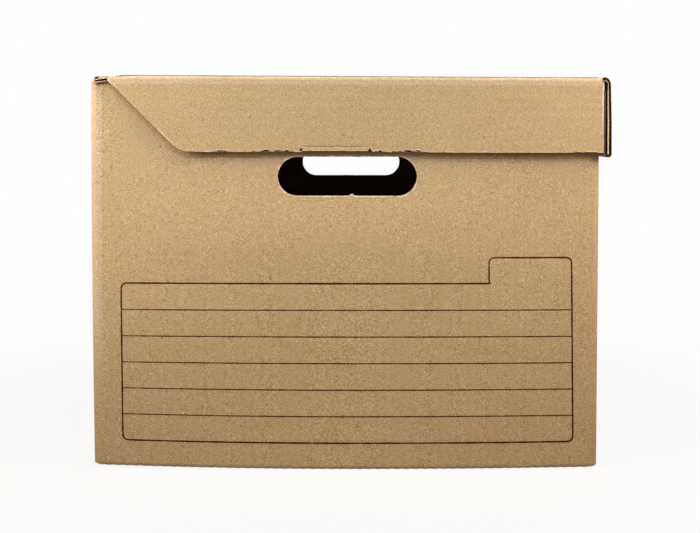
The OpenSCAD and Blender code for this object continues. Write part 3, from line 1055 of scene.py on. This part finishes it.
def hand_hole(node):
    """(middle x, middle z, length, height) of the hole in an end panel."""
    inside = [v.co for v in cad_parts[node].data.vertices
              if FOLD_R + BOARD < v.co.z < Z_WALL - BOARD
              and X_HINGE + HOLE_CLEAR < v.co.x < X_OPEN - HOLE_CLEAR]
    low = [min(co[axis] for co in inside) for axis in (0, 2)]
    high = [max(co[axis] for co in inside) for axis in (0, 2)]
    return (low[0] + high[0]) / 2, (low[1] + high[1]) / 2, high[0] - low[0], high[1] - low[1]


def obround(middle_run, middle_z, long, high):
    """A closed loop with two straight sides and two round ends."""
    loop = []
    for side, first in ((1, -90), (-1, 90)):
        for step in range(ARC_STEPS + 1):
            turn = math.radians(first + 180 * step / ARC_STEPS)
            loop.append((middle_run + side * (long - high) / 2 + math.cos(turn) * high / 2,
                         middle_z + math.sin(turn) * high / 2))
    return loop


def blunt_cut(loop, seed, tuft_run, tuft_high):
    """The loop as a worn die cuts it: a little ragged, with a tuft of fibres left at its bottom."""
    even, run = (row[:-1] for row in resample(loop + loop[:1], CUT_STEP))
    centre = even.mean(axis=0)
    pull = CUT_RAGGED * (ripple(run, seed, CUT_STEP)[:, None] - 0.5)
    ragged = even + (centre - even) / np.linalg.norm(centre - even, axis=1)[:, None] * pull
    near = np.clip(1 - np.abs(even[:, 0] - tuft_run) / TUFT_HALF, 0, 1)
    ragged[:, 1] += tuft_high * near * (even[:, 1] < centre[1])
    return [tuple(point) for point in ragged]


print("a hand hole in mm:", mm(*hand_hole("front_end_panel")[2:]))

# %% [markdown]
# Each end panel takes its hole along when it is filled. Pale fibres line the cut, and at the front
# a small tuft stands up where the die was worn.

# %% End panels
TUFT_SHIFT, TUFT_HIGH, RIM_W = 0.0030, 0.0022, 0.0010


def end_panel(node, leg, direction, seed, tuft_high=0.0):
    """An end panel with its hand hole; direction is that of the path along x."""
    x, z, long, high = hand_hole(node)
    low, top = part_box(node)
    middle = sleeve.marks[leg] + direction * (x - (low.x if direction > 0 else top.x))
    hole = blunt_cut(obround(middle, z, long, high), seed, middle + TUFT_SHIFT, tuft_high)
    wall(node, stretch(leg, FOLD_R, Z_WALL), hole)
    fibre_and_highlight_ribbon(node + "_hole_fibres", sleeve, (hole + hole[:1])[::-1], RIM_W, seed=seed)


end_panel("front_end_panel", 6, 1, 31, TUFT_HIGH)
end_panel("back_end_panel", 2, -1, 37)

# %% [markdown]
# ## The ruled label
# The front end panel is printed with a plain ruled label: a frame with rounded corners, a tab at
# its upper right, and five lines. It could be an image on the panel, but its lines would blur up
# close. A printing plate lays the ink as a film on the liner, so each line is a thin ribbon just
# off the paper, and its width varies a little.

# %% The label's size, and printing
ROW_STEP, ROW_COUNT = 0.0179, 5
LABEL_LEFT, LABEL_RIGHT = X_MIDDLE - 0.1497, X_MIDDLE + 0.1528
LABEL_LOW = 0.0182
LABEL_TOP = LABEL_LOW + (ROW_COUNT + 1) * ROW_STEP
PRINT_SKEW = 0.0147
INK_LIFT, INK_STEP, INK_BLEED, INK_UNEVEN = 0.00006, 0.0015, 0.004, 0.08


def ribbon(path, width, seed):
    """Both edges of a printed line along a path. Ink spreads unevenly, so its width varies."""
    run = np.linspace(0, path.marks[-1], round(path.marks[-1] / INK_STEP))
    spread = width * (0.5 + INK_UNEVEN * (2 * ripple(run, seed, INK_BLEED) - 1))
    return path.at(run, -spread), path.at(run, spread)


def print_on_end(edges):
    """A ribbon on the front end panel, given both of its edges as (x, z) points."""
    flat, faces = strip_between(*edges)
    return new_mesh("ink", np.column_stack([flat[:, 0], np.full(len(flat), -Y_END), flat[:, 1]]), faces)


def show_print(name, mesh):
    """Skews the print a little, lets it follow the panel, and lifts it off the paper."""
    for vertex in mesh.vertices:
        share = (vertex.co.x - LABEL_LEFT) / (LABEL_RIGHT - LABEL_LEFT)
        vertex.co.x -= PRINT_SKEW * share * (vertex.co.z - LABEL_LOW - 2 * ROW_STEP)
    settle_mesh(mesh, "carton")
    for vertex in mesh.vertices:
        vertex.co.y -= INK_LIFT
    show_piece(name, mesh, "carton")


print("label in mm:", mm(LABEL_RIGHT - LABEL_LEFT, LABEL_TOP - LABEL_LOW))

# %% [markdown]
# The frame and the tab are one closed line. The turtle that folds board can draw it too: it goes
# clockwise from the tab's foot and rounds six corners on the way.

# %% The frame and its tab
LINE_W, LABEL_R = 0.00110, 0.0036
TAB_LEFT, TAB_RISE, TICK_R = X_MIDDLE + 0.0972, 0.0173, 0.0014
label_outline = FoldPath((TAB_LEFT + TICK_R, LABEL_TOP), 180, -1, [
    (TICK_R, 90), (TAB_RISE - TICK_R - LABEL_R, 0), (LABEL_R, 90),
    (LABEL_RIGHT - TAB_LEFT - 2 * LABEL_R, 0), (LABEL_R, 90),
    (LABEL_TOP + TAB_RISE - LABEL_LOW - 2 * LABEL_R, 0), (LABEL_R, 90),
    (LABEL_RIGHT - LABEL_LEFT - 2 * LABEL_R, 0), (LABEL_R, 90),
    (LABEL_TOP - LABEL_LOW - 2 * LABEL_R, 0), (LABEL_R, 90),
    (TAB_LEFT - LABEL_LEFT - LABEL_R, 0),
])
frame_mesh = print_on_end(ribbon(label_outline, LINE_W, 5))
frame_mesh.materials.append(ink)
show_print("label_frame", frame_mesh)
print("line round the label in mm:", mm(label_outline.marks[-1]))

# %% [markdown]
# The five lines are alike, so one is drawn and Geometry Nodes repeat it down the label. Five
# copies made in a loop would do as well, but here the count is one input of the tree.

# %% The ruled lines
ROW_W = 0.00076
rule, given, result = new_tree("rule_lines", [
    ("Count", "NodeSocketInt"), ("Step", "NodeSocketFloat"), ("Material", "NodeSocketMaterial")])
down = add(rule, "ShaderNodeCombineXYZ", {"Z": calc(rule, "MULTIPLY", given.outputs["Step"], -1.0)})
starts = add(rule, "GeometryNodeMeshLine", {"Count": given.outputs["Count"], "Offset": down.outputs[0]})
lines = add(rule, "GeometryNodeInstanceOnPoints", {"Points": starts.outputs[0],
                                                   "Instance": given.outputs["Geometry"]})
close_tree(rule, given, result, lines.outputs[0])

line = FoldPath((LABEL_LEFT, LABEL_TOP - ROW_STEP), 0, 1, [(LABEL_RIGHT - LABEL_LEFT, 0)])
show_print("label_lines", run_tree(rule, print_on_end(ribbon(line, ROW_W, 9)), Count=ROW_COUNT,
                                   Step=ROW_STEP, Material=ink))
print("ruled lines:", ROW_COUNT, "at steps in mm of", mm(ROW_STEP))

# %% [markdown]
# The side walls are plain stretches of the sleeve, and the corner folds close it. At the front
# the feet of the corners are cut at a slant, from the end panel's low edge up to the floor flap's.
# The glue tab's two ends are slanted too, so that it slips in easily behind the opening side. A
# slant could be cut off with a knife, but here it is only a point of the outline.

# %% Side walls, corners and the glue tab
CORNER_FOOT, CORNER_MID_FOOT = 0.0007, 0.0013
GLUE_INSET, TAB_SLANT = 0.004, math.tan(math.radians(10))
wall("hinge_side_wall", stretch(4, Z_FLOOR + FOLD_R, Z_TOP - FOLD_R))
wall("opening_side_wall", stretch(8, Z_FLOOR + FOLD_R, Z_WALL))
wall("back_hinge_corner", stretch(3, Z_FLOOR, Z_WALL))
for node, panel, side_wall in (("front_hinge_corner", 6, 5), ("front_opening_corner", 7, 8)):
    at_panel, at_wall = sleeve.marks[panel], sleeve.marks[side_wall]
    wall(node, [(at_panel, CORNER_FOOT), ((at_panel + at_wall) / 2, CORNER_MID_FOOT),
                (at_wall, Z_FLOOR), (at_wall, Z_WALL), (at_panel, Z_WALL)])

tab_low, tab_high = Z_FLOOR + BOARD + GLUE_INSET, Z_WALL - GLUE_INSET
tab = [(0.0, tab_low + GLUE_W * TAB_SLANT), (GLUE_W, tab_low), (GLUE_W, tab_high),
       (0.0, tab_high - GLUE_W * TAB_SLANT)]
wall("glue_tab", tab, stretch(1, Z_FLOOR, Z_WALL))

# %% [markdown]
# ## The bottom
# An end flap folds in from each end panel, and a floor flap from each side wall. Each end flap has
# a slanted crease, and the corner past it is glued under the floor flap beside it, so the whole
# bottom springs open together with the box. The corner could be left a part of its flap, but on
# the real box the crease parts the two, and so it does here.

# %% End flaps
FLAP_FOLD = FOLD_R * math.pi / 2
FLAP_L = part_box("front_bottom_flap")[1].y + Y_END - FOLD_R
FREE_SLANT = math.tan(math.radians(30))


def end_flaps(side, inside, name, x_free, x_glued):
    """The fold and flap below an end panel, and its glued corner."""
    path = FoldPath((side * Y_END, FOLD_R), -90, inside, [(FOLD_R, 90), (FLAP_L, 0)], YZ_PLANE)
    to_free = math.copysign(1, x_free - x_glued)
    far = FLAP_FOLD + FLAP_L
    flap = [(FLAP_FOLD, x_free), (far, x_free - to_free * FLAP_L * FREE_SLANT),
            (far, x_glued + to_free * FLAP_L), (FLAP_FOLD, x_glued)]
    fold = rectangle(0, FLAP_FOLD, min(x_free, x_glued), max(x_free, x_glued))
    corner = [(FLAP_FOLD, x_glued), (far, x_glued + to_free * FLAP_L), (far, x_glued)]
    board(name + "_bottom_flap", path, [fold, flap], along_path=True)
    board(name + "_glued_corner", path, [corner], along_path=True)


front_low, front_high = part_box("front_end_panel")
back_low, back_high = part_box("back_end_panel")
end_flaps(-1, 1, "front", front_low.x, front_high.x)
end_flaps(1, -1, "back", back_high.x, back_low.x)

# %% [markdown]
# The two floor flaps hook into each other along the middle. Their seam has many corners, which
# would be tedious to type and easy to get wrong. So the outline is read from the frame, by slicing
# the node at half the board's thickness.

# %% Floor flaps
STRAIGHT = 1e-9


def slice_node(node, level):
    """The outline, in x and y, where a level plane cuts a node."""
    work = bmesh.new()
    work.from_mesh(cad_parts[node].data)
    bmesh.ops.remove_doubles(work, verts=work.verts, dist=SAME_POINT)
    found = bmesh.ops.bisect_plane(work, geom=work.verts[:] + work.edges[:] + work.faces[:],
                                   plane_co=(0, 0, level), plane_no=(0, 0, 1))["geom_cut"]
    edges = {item for item in found if isinstance(item, bmesh.types.BMEdge)}
    first = edges.pop()
    ring = [first.verts[0], first.verts[1]]
    while ring[-1] != ring[0]:
        step = next(edge for edge in ring[-1].link_edges if edge in edges)
        edges.discard(step)
        ring.append(step.other_vert(ring[-1]))
    outline = [(vert.co.x, vert.co.y) for vert in ring[:-1]]
    work.free()
    return outline


def without_straights(loop):
    """Drops the points of a loop that repeat, or at which it doesn't turn."""
    loop = [here for here, after in zip(loop, loop[1:] + loop[:1]) if math.dist(here, after) > SAME_POINT]
    kept = []
    for before, here, after in zip(loop[-1:] + loop[:-1], loop, loop[1:] + loop[:1]):
        turn = ((here[0] - before[0]) * (after[1] - here[1])
                - (here[1] - before[1]) * (after[0] - here[0]))
        if abs(turn) > STRAIGHT:
            kept.append(here)
    return kept


def floor_flap(node, x_wall, inward):
    """A floor flap with its fold; inward is the direction into the box along x."""
    path = FoldPath((x_wall, Z_FLOOR + FOLD_R), -90, inward, [(FOLD_R, 90), (X_OPEN - X_HINGE, 0)])
    outline = [(FLAP_FOLD + max(0.0, inward * (x - x_wall) - FOLD_R), y)
               for x, y in slice_node(node, Z_FLOOR + BOARD / 2)]
    low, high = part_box(node)
    fold = rectangle(0, FLAP_FOLD, low.y, high.y)
    board(node, path, [fold, without_straights(outline)], along_path=True)


floor_flap("hinge_side_floor_flap", X_HINGE, 1)
floor_flap("opening_side_floor_flap", X_OPEN, -1)

# %% [markdown]
# ## The lid
# The lid's main path runs across the box: over the hinge, along the top, round the roll at the
# opening side, down the outer ply, right round at the bottom edge, and up again on the inside. Its
# flutes run along that path, so every cut end of the double flap shows two long open channels. A
# thickened plate would have solid ends, so here too the board is laid along the path, and its
# flutes stay back a little from both ends.

# %% The lid's path, its top and the double flap
ROLL_R = X_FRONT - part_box("lid_top")[1].x
TURN_R = (X_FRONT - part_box("lid_flap_turn")[0].x) / 2
Z_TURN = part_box("lid_flap_turn")[1].z
lid_path = FoldPath((X_HINGE, Z_TOP - FOLD_R), 90, -1, [
    (FOLD_R, 90), (length("lid_top", 0), 0), (ROLL_R, 90),
    (Z_TOP - ROLL_R - Z_TURN, 0), (TURN_R, 180), (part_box("lid_flap_inner_ply")[1].z - Z_TURN, 0),
], XZ_PLANE, "lid")
FLAP_PITCH = 2 * Y_SKIRT / round(2 * Y_SKIRT / PITCH)
OPEN_CHANNEL = 0.0120


# Except on the lid's top, the outer liners' cut rims are painted dark: painted shade.
def lid_part(node, leg, legs, y, pitch=PITCH, tip_at=0.0, face=kraft_liner, shaded_rim=True):
    """A stretch of the lid's path, as wide as y to both sides."""
    first, last = lid_path.marks[leg], lid_path.marks[leg + legs]
    board(node, lid_path, [rectangle(first, last, -y, y)], along_path=True, pitch=pitch,
          tip_at=tip_at, face=face, shaded_rim=shaded_rim,
          flute_loops=[rectangle(first, last, OPEN_CHANNEL - y, y - OPEN_CHANNEL)])


lid_part("lid_top", 1, 1, Y_SKIRT - FOLD_R, tip_at=Y_SKIRT, shaded_rim=False)
lid_part("lid_opening_flap", 2, 2, Y_SKIRT, FLAP_PITCH, Y_SKIRT)
lid_part("lid_flap_turn", 4, 1, Y_SKIRT, FLAP_PITCH, Y_SKIRT, face=crushed_and_lit_kraft)
lid_part("lid_flap_inner_ply", 5, 1, Y_SKIRT, FLAP_PITCH, Y_SKIRT)
print("across the lid and round its flap in mm:", mm(lid_path.marks[-1]))

# %% [markdown]
# The lid's two end flaps are cut along a flute at their lower edge. The press can't cut there
# cleanly: the outer liner is torn back in places, and the open flute behind it shows as a dark
# dash, whose darkness is partly the painted shade of the fluted paper. A dark line painted on the
# flap would stay flat from the side. So the flap gets close rows near that edge, and each layer of
# the board is frayed there by its own amount.

# %% The torn lower edge
TORN = ((-0.0915, -0.0785, 0.0008), (-0.0660, -0.0590, 0.0006), (-0.0600, -0.0370, 0.0011),
        (0.0130, 0.0525, 0.0010), (0.1480, 0.1640, 0.0005))
STRAIGHT_EDGE, STRAIGHT_CUT = (-0.0325, 0.0120), 0.0010
NICKS, NICK_HIGH, NICK_HALF = (-0.0325, 0.0130), 0.0036, 0.0017
PRESSED_AT, PRESSED_WIDE, PRESSED_DEEP = 0.0031, 0.0006, 0.00035
FRAY_REACH, FINE_ROW = 0.0045, 0.0005
BLUNT_STEP, TEAR_STEP, HAIR_STEP = 0.0016, 0.0022, 0.0008
TEAR_SOFT, CUT_SOFT, HAIR_LEAST = 0.003, 0.0008, 0.4
TEAR_GAIN, TEAR_LEAST, TEAR_MOST = 2.6, 0.12, 1.4
LAYERS = {"outer": (3, 0.00030, 1.0), "flutes": (11, 0.0012, 1.5), "inner": (23, 0.00015, 0.25)}


def between(x, start, end, soft):
    """1 between start and end, and 0 outside, with soft ends."""
    return smooth((x - start) / soft) * smooth((end - x) / soft)


def fray_edge(points, layer):
    """Moves the lower edge of an end flap up by what is cut or torn off it."""
    across, x = points.T
    seed, blunt, share = LAYERS[layer]
    cut = blunt * ripple(x, seed, BLUNT_STEP)
    bits = ripple(x, seed + 1, TEAR_STEP) * (HAIR_LEAST + ripple(x, seed + 2, HAIR_STEP))
    torn = np.clip(TEAR_GAIN * bits - TEAR_LEAST, 0, TEAR_MOST)
    for start, end, deep in TORN:
        cut = cut + between(x, start, end, TEAR_SOFT) * deep * share * torn
    kept = between(x, *STRAIGHT_EDGE, CUT_SOFT)
    cut = cut * (1 - kept) + STRAIGHT_CUT * kept
    if layer != "inner":
        for nick in NICKS:
            cut = np.maximum(cut, NICK_HIGH * np.clip(1 - np.abs(x - nick) / NICK_HALF, 0, 1))
    fade = np.clip(1 - across / FRAY_REACH, 0, 1)
    return np.column_stack([across + cut * fade, x])


def pressed_line(points):
    """The tooling also pressed a short line into the flap, just above its straight edge."""
    across, x = points.T
    groove = np.exp(-((across - PRESSED_AT) / PRESSED_WIDE) ** 2)
    return PRESSED_DEEP * groove * between(x, *STRAIGHT_EDGE, TEAR_SOFT)


def flap_rows(across):
    """Close rows near the torn edge, and far ones above it."""
    return list(np.arange(X_SKIRT, X_TAB, FINE_ROW if across < FRAY_REACH else ROW))


print("torn stretches:", len(TORN), "and nicks:", len(NICKS))

# %% [markdown]
# Along the fold above each end flap, the lid's rounded edge is painted darker: painted shade. It
# could be a dark patch in the liner's material, but the flap and its fold are one mesh. So a thin
# dark film lies on the part of the fold that is nearly level, as an uneven strip of small faces.

# %% Painted shade on the fold
SHADE_FROM, SHADE_TO, SHADE_ROWS = 0.56, 0.95, 6
SHADE_STEP, SHADE_SWELL, SHADE_UNEVEN = 0.004, 0.010, 0.0004
SLANT, SLANT_R = 45.0, 0.020
SHADE_START = X_SKIRT + SLANT_R / 4


def painted_fold_shade(name, path):
    """Painted shade along the lid's edge."""
    begin, end = path.marks[1:3]
    runs = np.linspace(begin + SHADE_FROM * (end - begin), begin + SHADE_TO * (end - begin), SHADE_ROWS)
    x = np.arange(SHADE_START, X_TAB, SHADE_STEP)
    uneven = SHADE_UNEVEN * (ripple(x, 61, SHADE_SWELL) - 0.5)
    grid = np.stack(np.broadcast_arrays(runs[:, None] + uneven, x), axis=2).reshape(-1, 2)
    faces = [(i, i + 1, i + 1 + len(x), i + len(x)) for i in range((SHADE_ROWS - 1) * len(x))
             if (i + 1) % len(x)]
    places = settle_lid(place_on(path, grid[:, 0], grid[:, 1], -FIBRE_LIFT))
    mesh = new_mesh(name, places, faces, fold_shade_paper)
    mesh.shade_smooth()
    show_piece(name, mesh, "lid")
    print(name, "has", len(faces), "faces")


# %% [markdown]
# Each end flap is drawn as one outline: along the fold, down the slant at the hinge end, round a
# curve into the lower edge, and up at the corner tab. Two ribbons of fibres follow its cuts, and a
# third, pale ribbon lies over the fold into the corner tab: a painted highlight on that fold.

# %% The lid's end flaps
CURVE_POINTS, FINE_COLUMNS = 10, 16
SKIRT_LIP, END_LIP, INNER_LIP = 0.00055, 0.0010, 0.0007
END_BARE, INNER_BARE, INNER_DEPTH = -3.0, 0.45, BOARD / 3


def end_flap_of_lid(node, side):
    """A flap over an end panel: its hinge end is slanted and runs in a curve into its edge."""
    high = Z_TOP - FOLD_R - Z_SKIRT
    path = FoldPath((side * Y_SKIRT, Z_SKIRT), 90, side, [(high, 0), (FOLD_R, 90)], YZ_PLANE, "lid")
    centre_x = X_SKIRT + high + SLANT_R * math.tan(math.radians(SLANT / 2))
    turns = [math.radians(degrees) for degrees in np.linspace(270 - SLANT, 270, CURVE_POINTS)]
    curve = [(SLANT_R + SLANT_R * math.sin(turn), centre_x + SLANT_R * math.cos(turn)) for turn in turns]
    cut = [(high, X_SKIRT)] + curve + [(0, X_TAB)]
    board(node, path, [cut + [(path.marks[2], X_TAB), (path.marks[2], X_SKIRT)]],
          columns=FINE_COLUMNS, rows=flap_rows, fray=fray_edge, pressed=pressed_line)
    fibre_and_highlight_ribbon(node + "_fibres", path, cut[::-1], SKIRT_LIP, seed=41, fray=fray_edge)
    # The ribbon at the flap's end lies over the fold into the corner tab, where there is no cut: a painted
    # highlight on that fold.
    end = [(high, X_TAB + END_LIP), (END_LIP, X_TAB + END_LIP)]
    fibre_and_highlight_ribbon(node + "_tab_fold_highlight", path, end, END_LIP, seed=47, bare=END_BARE)
    painted_fold_shade(node + "_painted_fold_shade", path)
    fibre_and_highlight_ribbon(node + "_inner_fibres", path, [cut[-1], curve[-1]], INNER_LIP, INNER_DEPTH,
              seed=43, bare=INNER_BARE, fray=fray_edge, layer="inner")


end_flap_of_lid("lid_front_skirt", -1)
end_flap_of_lid("lid_back_skirt", 1)

# %% [markdown]
# A tab at the end of each end flap turns in behind the double flap, which holds the lid's corner
# together. It needs a path of its own, because its fold crosses the flutes.

# %% Corner tabs
TAB_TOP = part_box("lid_front_corner_tab")[1].z
TAB_L = length("lid_front_corner_tab", 1) - BOARD


def corner_tab(node, side):
    """The tab that joins an end flap to the double flap."""
    path = FoldPath((X_TAB, side * Y_SKIRT), 0, -side, [(BOARD, 90), (TAB_L, 0)], XY_PLANE, "lid")
    bend, end = path.marks[1:]
    outline = [(0, Z_SKIRT), (bend, Z_SKIRT), (end, Z_SKIRT + TAB_L * TAB_SLANT),
               (end, TAB_TOP - TAB_L * TAB_SLANT), (bend, TAB_TOP), (0, TAB_TOP)]
    board(node, path, [outline], along_path=True, tip_at=Z_SKIRT)


corner_tab("lid_front_corner_tab", -1)
corner_tab("lid_back_corner_tab", 1)

# %% [markdown]
# ## The hinge
# The lid turns on a crushed crease along the top of the hinge side. Two stiff halves with a pin
# would gape when the lid opens. The crease belongs to both bodies, so its piece hangs on neither of
# them. At the front end it is squashed against the lid.

# %% The hinge crease
SQUASH, SQUASH_FROM, SQUASH_FULL = 0.8, 0.030 - Y_END, 0.010 - Y_END
CREASE_COLUMNS = 6
crease = FoldPath((X_HINGE, Z_TOP - FOLD_R), 90, -1, [(FOLD_R, 90)])
crease_rows = path_rows(crease)
strip_loop = rectangle(CORNER_R - Y_END, Y_END - CORNER_R, 0, crease.marks[1])
strip_points, strip_faces = fill_outline([strip_loop], PITCH / CREASE_COLUMNS, lambda across: crease_rows)


def lay_crease(points, depth):
    """Places of the crease's flat points at a depth."""
    return place_on(crease, points[:, 1], points[:, 0], depth)


def squash_crease(places):
    """Over its last centimetres at the front end, the crease is squashed against the lid."""
    squashed = SQUASH * smooth((SQUASH_FROM - places[:, 1]) / (SQUASH_FROM - SQUASH_FULL))
    inner_x = X_HINGE + FOLD_R
    places[:, 0] = inner_x - (inner_x - places[:, 0]) * (1 - squashed)
    return places


strip, faces, kinds = sheet_arrays(strip_points, strip_faces, lay_crease, 0.0, BOARD)
strip_mesh = paper_mesh("lid_hinge_crease_board", squash_crease(settle_carton(strip)), faces, kinds,
                        crushed_and_lit_kraft, shaded_flute_paper)
keep_flat_place(strip_mesh, strip_points, wave(strip_points[:, 0], PITCH),
                distance_to_folds(crease, strip_points[:, 1]) / CRUSHED, 2)
hinge = show("lid_hinge_crease_board", strip_mesh)
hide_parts("lid_hinge_crease")
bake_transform(hinge)
print("hinge crease in mm:", mm(*np.ptp(strip_points, axis=0)))

# %% [markdown]
# ## Counting
# The last cell counts the pieces that were made and their triangles. Every panel took its length
# from the frame.

# %% Count the pieces
pieces = [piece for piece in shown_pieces() if piece.type == "MESH"]
print("pieces:", len(pieces), "triangles:",
      sum(len(face.vertices) - 2 for piece in pieces for face in piece.data.polygons))
